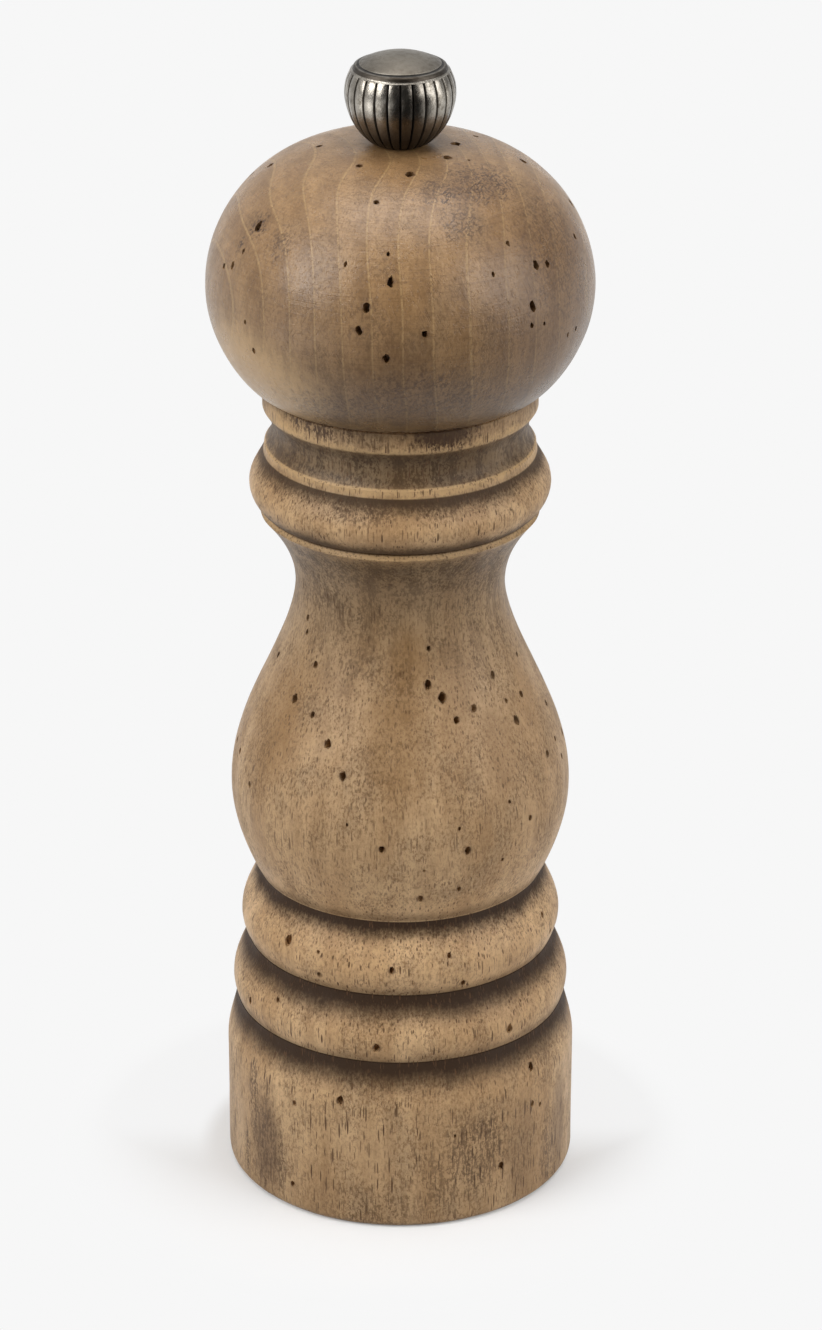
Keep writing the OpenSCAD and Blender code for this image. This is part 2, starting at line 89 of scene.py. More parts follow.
class Look:
    # the nodes of one material, worked out in millimetres, or of the world
    def __init__(self, owner, source="Object", scale=1000):
        owner.use_nodes = True
        self.owner, self.tree = owner, owner.node_tree
        self.tree.nodes.clear()
        metres = self.add("ShaderNodeTexCoord", output=source)
        self.place = self.add("ShaderNodeVectorMath", {"operation": "MULTIPLY"},
                              {0: metres, 1: (scale, scale, scale)})
        self.x = self.add("ShaderNodeSeparateXYZ", None, {0: self.place})
        self.y, self.z = self.x.also(1), self.x.also(2)

    def add(self, kind, settings=None, sockets=None, output=0):
        node = self.tree.nodes.new(kind)
        for name, value in (settings or {}).items():
            if name == "stops":
                ramp = node.color_ramp.elements
                while len(ramp) < len(value):
                    ramp.new(0.5)
                for stop, (position, colour) in zip(ramp, value):
                    stop.position, stop.color = position, colour
            else:
                setattr(node, name, value)
        for name, value in (sockets or {}).items():
            if isinstance(value, Signal):
                self.tree.links.new(value.socket, node.inputs[name])
            else:
                node.inputs[name].default_value = value
        return Signal(self, node.outputs[output]) if len(node.outputs) else None

    def maths(self, operation, first, second=0.0):
        return self.add("ShaderNodeMath", {"operation": operation}, {0: first, 1: second})

    def shifted(self, size, seed, tilt=None):
        # the place in lumps of the given size, moved so that each texture is its own
        place = self.place
        if tilt:
            place = self.add("ShaderNodeVectorRotate", {"rotation_type": "EULER_XYZ"},
                             {"Vector": place, "Rotation": [math.radians(t) for t in tilt]})
        return self.add("ShaderNodeVectorMath", {"operation": "MULTIPLY_ADD"},
                        {0: place, 1: tuple(1 / s for s in size),
                         2: (seed * 7.31, seed * 3.17, seed * 5.73)})

    def clouds(self, size, seed, detail=2.0, rough=0.5):
        return self.add("ShaderNodeTexNoise", None,
                        {"Vector": self.shifted(size, seed), "Scale": 1.0,
                         "Detail": detail, "Roughness": rough})

    def strokes(self, size, share, seed, tilt=None):
        # dashes along the grain, in the given share of its cells
        cells = self.add("ShaderNodeTexVoronoi", None,
                         {"Vector": self.shifted(size, seed, tilt), "Scale": 1.0}, "Distance")
        pick = self.add("ShaderNodeSeparateColor", None, {0: cells.also("Color")})
        reach = 0.2 + 0.16 * pick.also(1)
        dash = self.rise(cells - reach, 0.03, -0.07)
        return dash * self.rise(pick, share + 0.03, share - 0.03) * (0.45 + 0.55 * pick.also(2))

    def rise(self, value, low, high, bottom=0.0, top=1.0):
        # a smooth step from bottom to top while the value goes from low to high
        return self.add("ShaderNodeMapRange", {"interpolation_type": "SMOOTHSTEP"},
                        {0: value, 1: low, 2: high, 3: bottom, 4: top})

    def mix(self, mask, under, over, way="MIX"):
        return self.add("ShaderNodeMix", {"data_type": "RGBA", "blend_type": way},
                        {0: mask, 6: under, 7: over}, 2)

    def spot(self, centre, reach, ragged=0.0, seed=0):
        # 1 at a point and 0 at its reach, with a ragged edge
        away = self.add("ShaderNodeVectorMath", {"operation": "SUBTRACT"},
                        {0: self.place, 1: centre})
        away = self.add("ShaderNodeVectorMath", {"operation": "DIVIDE"}, {0: away, 1: reach})
        far = self.add("ShaderNodeVectorMath", {"operation": "LENGTH"}, {0: away}, "Value")
        if ragged:
            far = far + (self.clouds((1.3, 1.3, 2.6), seed, 3.0, 0.6) - 0.5) * ragged
        return self.rise(far, 1.0, 0.35)

    def close(self, sockets, height, depth):
        # the surface itself; height is in parts of the depth, which is in millimetres
        sockets["Normal"] = self.add("ShaderNodeBump", None,
                                     {"Height": height, "Distance": depth * mm}, "Normal")
        surface = self.add("ShaderNodeBsdfPrincipled", None, sockets)
        self.add("ShaderNodeOutputMaterial", None, {"Surface": surface})
        return self.owner


def quarter(crest, foot, fullness, step=outlineStep):
    # a turned curve from its crest to its foot, as [radius, height]; 1 is a plain quarter round,
    # less is fuller and more is slacker
    count = max(10, int(math.dist(crest, foot) / step))
    points = []
    for k in range(count + 1):
        t = (1 - math.cos(math.pi * k / count)) / 2
        reach = max(math.cos(math.pi / 2 * t), 0) ** fullness
        points.append((foot[0] + (crest[0] - foot[0]) * reach,
                       crest[1] + (foot[1] - crest[1]) * t))
    return points


def cove(foot, edge):
    # a hollow curve that runs up to an edge
    count = max(8, int(math.dist(foot, edge) / outlineStep))
    return [(foot[0] + (edge[0] - foot[0]) * (k / count) ** 2,
             foot[1] + (edge[1] - foot[1]) * k / count) for k in range(count + 1)]


def filled(points, step=outlineStep):
    # the same outline with no stretch longer than the step, and no point twice
    out = [points[0]]
    for here, there in zip(points, points[1:]):
        count = max(1, math.ceil(math.dist(here, there) / step))
        out += [(here[0] + (there[0] - here[0]) * k / count,
                 here[1] + (there[1] - here[1]) * k / count) for k in range(1, count + 1)]
    return [p for p, q in zip(out, out[1:] + out[:1]) if math.dist(p, q) > 0.02]


def smooth(mesh, sharp=sharpFrom):
    mesh.shade_smooth()
    mesh.set_sharp_from_angle(angle=math.radians(sharp))


def newPiece(name, verts, faces, sharp=sharpFrom):
    mesh = bpy.data.meshes.new(name)
    mesh.from_pydata([[c * mm for c in v] for v in verts], [], faces)
    mesh.update()
    smooth(mesh, sharp)
    piece = bpy.data.objects.new(name, mesh)
    bpy.context.scene.collection.objects.link(piece)
    return piece


def turned(loop, segments, relief=None):
    # verts and faces of a closed loop of [radius, height] turned round the axis
    verts, rings = [], []
    for radius, height in loop:
        if radius < 0.001:    # on the axis, so one point is enough
            rings.append([len(verts)] * segments)
            verts.append((0, 0, height))
            continue
        rings.append(range(len(verts), len(verts) + segments))
        for s in range(segments):
            turn = 2 * math.pi * s / segments
            reach = radius + (relief(turn, radius, height) if relief else 0)
            verts.append((reach * math.sin(turn), -reach * math.cos(turn), height))
    faces = []
    for low, high in zip(rings, rings[1:] + rings[:1]):
        for s in range(segments):
            after = (s + 1) % segments
            face = [low[s], low[after], high[after], high[s]]
            face = [v for k, v in enumerate(face) if v not in face[:k]]
            if len(face) > 2:
                faces.append(face)
    return verts, faces


def carve(piece, cutter):
    cut = piece.modifiers.new("carve", "BOOLEAN")
    cut.operation, cut.solver, cut.object = "DIFFERENCE", "MANIFOLD", cutter
    graph = bpy.context.evaluated_depsgraph_get()
    shaped = bpy.data.meshes.new_from_object(piece.evaluated_get(graph))
    shaped.materials.clear()
    smooth(shaped)
    piece.modifiers.clear()
    piece.data = shaped
    bpy.data.objects.remove(cutter)


# The two turned pieces of wood. Sizes are in millimetres, and a hole has an angle from the front,
# a height and a width.
body = {
    "baseRadius": 33.1, "baseHeight": 24.2, "baseEdge": 1.4,
    "lowGroove": (31.2, 34.4), "lowBead": (31.8, 38.0),
    "midGroove": (29.0, 47.4), "highBead": (30.1, 51.6),
    "highGroove": (26.8, 61.6), "lip": (27.4, 62.7), "belly": (31.7, 78.8),
    "waist": (19.3, 119.3), "ridge": (25.6, 133.7),
    "collarGroove": (24.8, 134.7), "collar": (27.6, 139.3),
    "lowRim": (24.8, 146.7), "neck": (23.4, 150.2), "highRim": (24.8, 153.8),
    "ringRadius": 25.1, "seam": 158.3, "ringEdge": 0.5,
    "chamber": 14.5, "pocket": 20.2, "pocketTop": 38.1, "recess": 27.0, "recessTop": 7.0,
    "innerEdge": 0.4, "rawBelow": 37,
    "screwX": 23.4, "screwRadius": 1.45, "screwTop": 22.0,
    "segments": 330, "unevenness": 0.07,
    "holes": [
        (-59, 115.8, 0.9), (-57, 113.3, 0.8), (-78, 106.0, 0.9), (-45, 108.8, 1.0),
        (-51, 102.0, 1.3), (-39, 100.7, 0.9), (-29, 96.7, 1.4), (-21, 91.9, 1.3),
        (-63, 83.8, 0.9), (-77, 87.2, 0.9), (15, 113.8, 0.8), (13, 107.6, 1.3),
        (19, 105.2, 1.6), (33, 102.5, 1.1), (24, 101.2, 1.1), (48, 106.6, 1.0),
        (53, 97.9, 1.4), (62, 101.2, 1.0), (51, 101.7, 0.7), (72, 107.0, 0.8),
        (40, 85.0, 0.6), (49, 80.2, 0.9), (65, 89.4, 1.1), (75, 90.1, 0.8),
        (77, 86.2, 0.8), (80, 96.1, 0.9), (-18, 83.3, 0.5), (-6, 79.1, 1.2),
        (23, 77.7, 1.2), (20, 82.4, 0.6), (37, 73.7, 0.6), (8, 74.5, 0.5),
        (7, 67.9, 1.2), (21, 69.1, 0.8), (66, 55.5, 0.9),
        (-45, 54.8, 1.4), (-31, 54.7, 0.7), (-30, 50.3, 1.0), (-3, 53.2, 1.1),
        (18, 55.3, 0.8), (23, 49.4, 1.0), (70, 51.1, 0.9), (-48, 42.1, 0.8),
        (-63, 38.6, 0.9), (40, 37.9, 1.3), (-8, 37.8, 1.3), (49, 28.2, 1.2),
        (-20, 26.3, 1.3), (-37, 23.2, 0.8), (49, 20.4, 0.9), (53, 19.2, 0.7),
        (35, 10.0, 1.2), (-38, 5.4, 0.9), (18, 19.0, 0.6)],
    "strayHoles": 62, "strayLow": 4.0, "strayHigh": 116.0,
}
head = {
    "ringRadius": 25.1, "seam": 158.3, "widest": (35.0, 177.1), "crown": 203.4,
    "lowerFullness": 0.655, "upperFullness": 0.315, "crownStep": 0.35, "rawBelow": 203,
    "tenonRadius": 14.2, "tenonFoot": 146.3, "tenonEdge": 0.8,
    "bore": 4.39, "boreTop": 197.4, "crownBore": 2.9,
    "screwX": 9.0, "screwRadius": 1.05, "screwTop": 155.1,
    "segments": 360, "unevenness": 0.05,
    "holes": [
        (-58, 193.3, 1.4), (-67, 185.0, 0.9), (-62, 186.0, 1.0), (-59, 189.0, 0.7),
        (-48, 172.9, 0.8), (-51, 177.8, 0.6), (-18, 191.2, 0.7), (-3, 189.0, 1.2),
        (-10, 184.8, 1.3), (-12, 180.7, 1.2), (-4, 175.9, 1.3), (7, 180.2, 1.1),
        (-11, 199.7, 1.0), (-4, 193.1, 0.6), (7, 202.4, 1.7), (-34, 202.7, 1.2),
        (-94, 202.4, 1.1), (91, 203.1, 1.9), (50, 203.0, 1.6), (60, 202.5, 0.6),
        (93, 199.6, 1.5), (118, 202.2, 1.1), (39, 192.8, 0.8), (30, 188.8, 0.6),
        (47, 188.5, 1.3), (52, 188.0, 1.0), (42, 182.1, 1.3), (41, 178.8, 0.8),
        (46, 178.4, 0.6), (63, 174.3, 0.7), (74, 189.0, 0.9), (58, 174.1, 0.6)],
    "strayHoles": 34, "strayLow": 162.0, "strayHigh": 200.0,
}


def bodyOutline(shape):
    crease = 0.1    # how far a bead's foot goes in behind the curve below it
    lowFoot = (shape["lowGroove"][0] - crease, shape["lowGroove"][1])
    midFoot = (shape["midGroove"][0] - crease, shape["midGroove"][1])
    radius, edge = shape["baseRadius"], shape["baseEdge"]
    corner = [(radius - edge + edge * math.cos(math.radians(a)),
               edge + edge * math.sin(math.radians(a))) for a in range(-90, 1, 10)]
    ring, seam, ringEdge = shape["ringRadius"], shape["seam"], shape["ringEdge"]
    points = (corner + quarter((radius, shape["baseHeight"]), shape["lowGroove"], 1.6)
              + quarter(shape["lowBead"], lowFoot, 1)[::-1]
              + quarter(shape["lowBead"], shape["midGroove"], 1.6)
              + quarter(shape["highBead"], midFoot, 1)[::-1]
              + quarter(shape["highBead"], shape["highGroove"], 1.6)
              + quarter(shape["belly"], shape["lip"], 0.93)[::-1]
              + quarter(shape["belly"], shape["waist"], 1.7)
              + cove(shape["waist"], shape["ridge"])
              + quarter(shape["collar"], shape["collarGroove"], 0.6)[::-1]
              + quarter(shape["collar"], shape["lowRim"], 2)
              + cove(shape["neck"], shape["lowRim"])[::-1]
              + cove(shape["neck"], shape["highRim"])
              + [(ring, shape["highRim"][1] + ringEdge), (ring, seam - ringEdge),
                 (ring - ringEdge, seam)])
    return filled(points)


def headOutline(shape):
    foot, crown = (shape["ringRadius"], shape["seam"]), (0, shape["crown"])
    lower = quarter(shape["widest"], foot, shape["lowerFullness"])[::-1]
    upper = quarter(shape["widest"], crown, shape["upperFullness"], shape["crownStep"])
    upper = [p for p in upper if p[0] > shape["crownBore"]]
    return filled(lower + upper)


def uneven(amount, quietHeight):
    # slow dents of a worn surface, none in the bores and at the joint between the two pieces
    boreReach, calmReach, broad, small, flat = 17, 4, 9, 3.1, 0.4

    def relief(turn, radius, height):
        if radius < boreReach:
            return 0
        spot = Vector((radius * math.sin(turn), radius * math.cos(turn), height * 0.6))
        calm = min(1.0, abs(height - quietHeight) / calmReach)
        dent = noise.noise(spot / broad) + 0.5 * noise.noise(spot / small) - flat
        return amount * calm * min(dent, 0)
    return relief


def surfaceAt(outline, height):
    # radius and upward slope of the outer surface at a height
    for low, high in zip(outline, outline[1:]):
        if low[1] <= height <= high[1] and high[1] > low[1]:
            t = (height - low[1]) / (high[1] - low[1])
            return low[0] + (high[0] - low[0]) * t, (high[0] - low[0]) / (high[1] - low[1])
    return outline[-1][0], 0.0


def wormHoles(shape, outline):
    # the listed holes, and the stray ones round the sides and back
    strayFrom, strayTo, leastApart = 84, 276, 2.6
    holes = list(shape["holes"])
    wanted = len(holes) + shape["strayHoles"]
    while len(holes) < wanted:
        turn = random.uniform(strayFrom, strayTo)
        height = random.uniform(shape["strayLow"], shape["strayHigh"])
        radius = surfaceAt(outline, height)[0]
        near = [(a, h) for a, h, _ in holes if abs((turn - a + 180) % 360 - 180) < 40]
        apart = [math.dist((radius * math.sin(math.radians(turn - a)), height), (0, h))
                 for a, h in near]
        if not apart or min(apart) > leastApart:
            holes.append((turn, height, random.choice((0.6, 0.8, 0.9, 1.1, 1.4))))
    return holes


def holeCutter(holes, outline, pilots):
    # one mesh of tapering, slightly crooked plugs, and straight ones for the screws
    verts, faces, mouths = [], [], []
    sides, pilotSides = 14, 24
    for turn, height, size in holes:
        radius, slope = surfaceAt(outline, height)
        a = math.radians(turn)
        mouth = Vector((radius * math.sin(a), -radius * math.cos(a), height))
        across = Vector((math.cos(a), math.sin(a), 0))
        outward = (Vector((math.sin(a), -math.cos(a), 0)) - Vector((0, 0, slope))).normalized()
        along = outward.cross(across)
        lean = (across * random.uniform(-0.35, 0.35) + along * random.uniform(-0.5, 0.3))
        length = size * random.uniform(1.3, 1.75) if abs(slope) < 1.5 else size
        deep = min(random.uniform(1.0, 2.1) * size, 3.0)
        wobble = [random.uniform(0.75, 1.2) for _ in range(sides)]
        start = len(verts)
        rings = ((-1.0, 1.12), (0.0, 1.0), (0.4 * deep, 0.9), (deep, 0.55))    # depth, share
        for depth, share in rings:
            centre = mouth - (outward + lean * 0.6) * depth
            for s in range(sides):
                b = 2 * math.pi * s / sides
                verts.append(centre + share * wobble[s] / 2
                             * (across * size * math.cos(b) + along * length * math.sin(b)))
        for k in range(len(rings) - 1):
            low, high = start + k * sides, start + (k + 1) * sides
            for s in range(sides):
                after = (s + 1) % sides
                faces.append([low + s, high + s, high + after, low + after])
        faces.append([start + s for s in range(sides)])
        faces.append([high + s for s in reversed(range(sides))])
        mouths.append((*mouth, size))
    for x, radius, low, high in pilots:
        start = len(verts)
        top = start + pilotSides
        for z in (low, high):
            for s in range(pilotSides):
                b = 2 * math.pi * s / pilotSides
                verts.append((x + radius * math.cos(b), radius * math.sin(b), z))
        for s in range(pilotSides):
            after = (s + 1) % pilotSides
            faces.append([start + s, start + after, top + after, top + s])
        faces.append([start + s for s in reversed(range(pilotSides))])
        faces.append([top + s for s in range(pilotSides)])
    return newPiece("cutter", verts, faces), mouths


def stainRound(piece, mouths, reach):
    # a soft value round each hole, kept on the mesh for the material
    mesh = piece.data
    points = np.empty(len(mesh.vertices) * 3)
    mesh.vertices.foreach_get("co", points)
    points = points.reshape(-1, 3) / mm
    stain = np.zeros(len(points))
    for x, y, z, size in mouths:
        away = np.linalg.norm(points - (x, y, z), axis=1) - size * 0.4
        stain = np.maximum(stain, np.clip(1 - away / reach, 0, 1) ** 2 * min(size, 1.3))
    mesh.attributes.new("holeStain", "FLOAT", "POINT").data.foreach_set("value", stain)


def woodPiece(name, shape, outline, loop, pilots):
    verts, faces = turned(loop, shape["segments"], uneven(shape["unevenness"], shape["seam"]))
    piece = newPiece(name, verts, faces)
    cutter, mouths = holeCutter(wormHoles(shape, outline), outline, pilots)
    carve(piece, cutter)
    stainRound(piece, mouths, 0.8)
    print(name, "made,", len(piece.data.polygons), "faces,", len(mouths), "holes")
    return piece


outside = bodyOutline(body)
innerEdge = body["innerEdge"]
bodyLoop = outside + [
    (body["chamber"] + innerEdge, body["seam"]), (body["chamber"], body["seam"] - innerEdge),
    (body["chamber"], body["pocketTop"]), (body["pocket"], body["pocketTop"]),
    (body["pocket"], body["recessTop"]), (body["recess"], body["recessTop"]),
    (body["recess"], innerEdge), (body["recess"] + innerEdge, 0)]
bodyPilots = [(side * body["screwX"], body["screwRadius"], body["recessTop"] - 1, body["screwTop"])
              for side in (-1, 1)]
woodBody = woodPiece("turnedBody", body, outside, bodyLoop, bodyPilots)

ball = headOutline(head)
headLoop = ball + [
    (head["crownBore"], head["crown"]), (head["crownBore"], head["boreTop"]),
    (head["bore"], head["boreTop"]), (head["bore"], head["tenonFoot"]),
    (head["tenonRadius"] - head["tenonEdge"], head["tenonFoot"]),
    (head["tenonRadius"], head["tenonFoot"] + head["tenonEdge"]),
    (head["tenonRadius"], head["seam"])]
headPilots = [(side * head["screwX"], head["screwRadius"], head["tenonFoot"] - 1,
               head["screwTop"])
              for side in (-1, 1)]
woodHead = woodPiece("turnedHead", head, ball, headLoop, headPilots)


# The wood's colours, and the growth rings round a pith far to the side
agedWood = {
    "light": tone(217, 178, 132), "middle": tone(190, 150, 105), "dark": tone(141, 106, 70),
    "grey": tone(158, 130, 98), "pale": tone(214, 177, 128), "brown": tone(134, 98, 56),
    "dust": tone(102, 76, 53), "stroke": tone(92, 64, 40), "pore": tone(76, 54, 36),
    "waxAndShade": tone(55, 36, 18),
    "pith": (118, 22), "ringWidth": 5.2, "ringWaves": 12.0,
}
# Each piece's own finish. A tone is a height and how light the wood is there, all of it times the
# tint; these values hold the wood's own tone and also painted shade, darker in the waist, the neck
# and under the collar, and towards the bottom of the head. Grime darkens the grain in streaks
# where the tone values are dark, which deepens that painted shade. A band has its sharp edge, the
# height up to which it is full, its end and its strength. A wash is smooth: an angle from the
# front, a height, a width, a tallness, a strength and a colour; some washes are painted light and
# some painted shade. A stain is the same without a colour, and is broken up by the grain.
bodyFinish = {
    "mottle": 0.5, "strokes": 1.0, "grain": 1.0, "turning": 0.2, "rings": 0.25, "scratches": 0.0,
    "specks": 0.7, "grime": 0.5, "roughness": 0.46, "specular": 0.27,
    "tint": (1.03, 1.07, 1.13),
    "toneAndShade": [
        (0, 0.8), (12, 0.9), (30, 0.98), (60, 1.06), (80, 0.84), (100, 0.82), (112, 0.68),
        (121, 0.56), (131, 0.42), (136, 0.82), (140, 1.0), (146, 0.76), (148, 0.34),
        (152.5, 0.34), (154.2, 0.65), (158, 0.78)],
    # the bands from 153.9 and 158.4 are painted shade under the high rim and under the head
    "waxAndShadeBands": [
        (61.8, 60.6, 57.6, 1.0), (47.6, 45.8, 41.6, 1.0), (34.6, 33.0, 28.2, 1.0),
        (61.8, 59.4, 56.2, 0.4), (47.6, 44.2, 40.0, 0.45), (34.6, 31.2, 26.2, 0.45),
        (62.0, 62.4, 65.0, 0.45), (47.6, 47.9, 49.6, 0.4), (34.6, 34.9, 36.6, 0.4),
        (145.4, 144.6, 141.6, 0.9), (134.5, 135.4, 137.6, 0.85), (153.9, 153.2, 150.0, 0.4),
        (158.4, 158.0, 155.2, 0.45)],
    "paleBands": [
        (147.1, 146.6, 145.2, 0.75), (134.4, 134.0, 133.0, 0.6), (153.7, 154.4, 155.6, 0.5)],
    # the pale wash at -55 on the ring is a painted pool of light from the left
    "washes": [
        (18, 157.3, 7.5, 2.8, 0.8, "waxAndShade"), (-3, 98.0, 8.0, 26.0, 0.45, "brown"),
        (4, 112.0, 5.0, 9.0, 0.4, "brown"), (-60, 96.0, 9.0, 24.0, 0.5, "brown"),
        (42, 96.0, 5.0, 20.0, 0.4, "brown"), (-55, 156.0, 10.0, 3.4, 0.6, "pale"),
        (-50, 12.0, 6.0, 14.0, 0.6, "dust"), (44, 12.0, 6.0, 15.0, 0.3, "dust"),
        (66, 12.0, 4.0, 16.0, 0.5, "dust")],
    "stains": [
        (19, 157.4, 9.0, 4.2, 1.9), (-35, 157.6, 12.0, 3.2, 1.1), (-14, 142.6, 8.0, 2.4, 0.6),
        (13, 143.0, 6.0, 2.0, 0.5), (34, 143.4, 5.0, 2.0, 0.4), (-50, 13.0, 4.2, 15.0, 0.65),
        (-57, 20.0, 1.8, 12.0, 0.8), (-43, 9.0, 1.8, 11.0, 0.6), (-62, 7.0, 1.4, 9.0, 0.7),
        (1, 108.0, 3.2, 12.0, 0.4), (-20, 110.5, 8.0, 3.0, 0.3), (-13, 88.0, 3.0, 16.0, 0.2),
        (-3, 95.0, 6.0, 18.0, 0.2), (40, 108.0, 3.0, 10.0, 0.3), (-62, 90.0, 5.0, 16.0, 0.3),
        (14, 11.0, 8.0, 10.0, 0.5), (27, 15.0, 8.0, 12.0, 0.65), (58, 8.0, 4.0, 13.0, 0.6),
        (-10, 4.0, 16.0, 5.5, 0.4), (150, 60.0, 5.0, 18.0, 0.4), (-140, 20.0, 7.0, 9.0, 0.4),
        (110, 95.0, 5.0, 12.0, 0.35)],
}
headFinish = {
    "mottle": 0.2, "strokes": 0.0, "grain": 0.7, "turning": 0.8, "rings": 1.0, "scratches": 1.0,
    "specks": 0.3, "grime": 0.1, "roughness": 0.31, "specular": 0.5,
    "tint": (1.0, 0.96, 0.9),
    "toneAndShade": [(158, 0.33), (166, 0.41), (176, 0.53), (190, 0.59), (203, 0.58)],
    "waxAndShadeBands": [], "paleBands": [],
    # the pale wash low on the left is painted light and reflection from the floor; the washes in
    # the stroke colour at 56 and 0 are painted shade on the right and low in the middle
    "washes": [
        (56, 182.0, 26.0, 26.0, 0.4, "stroke"), (-54, 166.5, 21.0, 14.0, 0.62, "pale"),
        (40, 200.4, 9.0, 4.0, 0.25, "stroke"), (0, 171.0, 12.0, 12.0, 0.2, "stroke")],
    "stains": [
        (47, 200.4, 10.0, 3.8, 1.2), (22, 200.6, 6.0, 3.2, 1.15), (25, 196.5, 6.0, 4.0, 0.9),
        (-58, 193.3, 3.4, 3.0, 1.6), (-62, 189.5, 1.2, 6.0, 1.3), (-44, 192.0, 4.0, 5.0, 0.8),
        (60, 188.0, 14.0, 16.0, 0.75), (8, 168.0, 16.0, 8.0, 0.8), (-22, 164.0, 14.0, 6.0, 0.6),
        (34, 165.0, 12.0, 6.0, 0.7), (-8, 181.0, 5.0, 6.0, 0.35), (-30, 184.0, 6.0, 5.0, 0.25),
        (30, 178.0, 8.0, 9.0, 0.35), (130, 190.0, 10.0, 10.0, 0.5),
        (-120, 180.0, 6.0, 12.0, 0.45)],
}


def pointOn(outline, turn, height):
    radius = surfaceAt(outline, height)[0]
    a = math.radians(turn)
    return (radius * math.sin(a), -radius * math.cos(a), height)


def woodLook(name, wood, finish, outline):
    look = Look(bpy.data.materials.new(name))
    broad = look.clouds((13, 13, 52), 1, 3.0, 0.55)
    patches = look.clouds((7, 7, 11), 2, 3.0, 0.6)
    grit = look.clouds((0.5, 0.5, 0.85), 3, 3.0, 0.72)
    fibre = look.clouds((0.5, 0.5, 5.0), 4, 3.0, 0.65)
    grain = look.clouds((2.4, 2.4, 24), 5, 2.0, 0.5)
    smudge = look.clouds((2.6, 2.6, 4.4), 16, 3.0, 0.6)
    mottle = finish["mottle"]
    colour = look.mix(look.rise(broad, 0.36, 0.64, 0.5 - mottle, 0.5 + mottle), wood["middle"],
                      wood["light"])
    colour = look.mix(look.rise(patches, 0.46, 0.72, 0.0, 0.55), colour, wood["grey"])
    colour = look.mix(look.rise(grain, 0.45, 0.75, 0.0, 0.3), colour, wood["dark"])
    colour = look.mix(look.rise(smudge, 0.48, 0.72, 0.0, 0.3), colour, wood["dark"])
    # growth rings: a slow darkening that ends at a pale line
    pith = look.add("ShaderNodeVectorMath", {"operation": "MULTIPLY_ADD"},
                    {0: look.place, 1: (1, 1, 0), 2: (*wood["pith"], 0)})
    years = look.add("ShaderNodeVectorMath", {"operation": "LENGTH"}, {0: pith}, "Value")
    years = years + (look.clouds((24, 24, 52), 6, 0.0) - 0.5) * wood["ringWaves"]
    phase = look.maths("FRACT", years / wood["ringWidth"])
    colour = look.mix(look.rise(phase, 0.1, 0.9, 0.0, 0.4 * finish["rings"]), colour, wood["dark"])
    line = look.rise(phase, 0.89, 0.94) - look.rise(phase, 0.96, 1.0)
    colour = look.mix(line * 0.9 * finish["rings"], colour, wood["pale"])
    # fine grit and fibre
    gritty = look.rise(patches, 0.4, 0.6, 0.35, 1.0) * finish["grain"]
    colour = look.mix(look.rise(grit, 0.49, 0.62) * gritty * 0.78, colour, wood["dark"])
    colour = look.mix(look.rise(grit, 0.48, 0.36) * gritty * 0.36, colour, wood["pale"])
    colour = look.mix(look.rise(fibre, 0.5, 0.74, 0.0, 0.35), colour, wood["dark"])
    # faint marks round the axis from turning, and slanting scratches
    rounds = look.clouds((12, 12, 0.3), 7, 3.0, 0.7)
    turning = finish["turning"]
    colour = look.mix(look.rise(rounds, 0.5, 0.75, 0.0, 0.55 * turning), colour, wood["dark"])
    colour = look.mix(look.rise(rounds, 0.5, 0.3, 0.0, 0.2 * turning), colour, wood["pale"])
    scratch = 0.0
    if finish["scratches"]:
        scratch = look.maths("MAXIMUM", look.strokes((0.34, 0.34, 5.0), 0.5, 8, (8, 24, 0)),
                             look.strokes((0.3, 0.3, 3.4), 0.4, 9, (-10, -32, 0)))
        scratch = scratch * finish["scratches"]
        colour = look.mix(scratch * 0.5, colour, wood["brown"])
    # dark specks in patches
    speckPatch = look.rise(look.clouds((10, 10, 14), 10, 2.0, 0.5), 0.45, 0.62)
    speck = look.rise(look.clouds((0.5, 0.5, 0.75), 11, 2.0, 0.6), 0.55, 0.66)
    specks = speck * (0.2 + 0.8 * speckPatch) * finish["specks"]
    colour = look.mix(specks * 0.5, colour, wood["pore"])
    # how light the wood is at each height, with painted shade in the hollows and low on the head
    low, high = finish["toneAndShade"][0][0], finish["toneAndShade"][-1][0]
    stops = [((z - low) / (high - low), (*[v * t for t in finish["tint"]], 1))
             for z, v in finish["toneAndShade"]]
    shade = look.add("ShaderNodeValToRGB", {"stops": stops}, {0: (look.z - low) / (high - low)})
    colour = look.mix(1.0, colour, shade, "MULTIPLY")
    # where the painted shade is dark, dark streaks follow the grain: dirt, and more painted shade
    streaky = look.rise(grit + (fibre - 0.5) * 0.8 + (grain - 0.5) * 0.9, 0.42, 0.6)
    streaky = streaky * look.rise(shade, 0.9, 0.3, 0.0, finish["grime"])
    colour = look.mix(streaky, colour, wood["waxAndShade"])
    # smooth washes: stains, and painted light and painted shade where a finish lists them
    for turn, height, wide, tall, strength, shadeName in finish["washes"]:
        wash = look.spot(pointOn(outline, turn, height), (wide, wide, tall), 0.5, 60 + int(turn))
        colour = look.mix(wash * strength, colour, wood[shadeName])
    # pale bands along the rims, then wax and dirt in the grooves and painted shade under the high
    # rim and under the head, all with a speckled and streaky end
    ragged = look.z + (look.clouds((0.9, 0.9, 2.4), 12, 3.0, 0.7) - 0.5) * 1.6
    ragged = ragged + (look.clouds((8, 8, 20), 13) - 0.5) * 2.6 + (grit - 0.5) * 2.4

    def band(edge, full, gone):
        soft = 0.15 if gone < edge else -0.15
        return look.rise(ragged, gone, full) * look.rise(look.z, edge + soft, edge - soft)

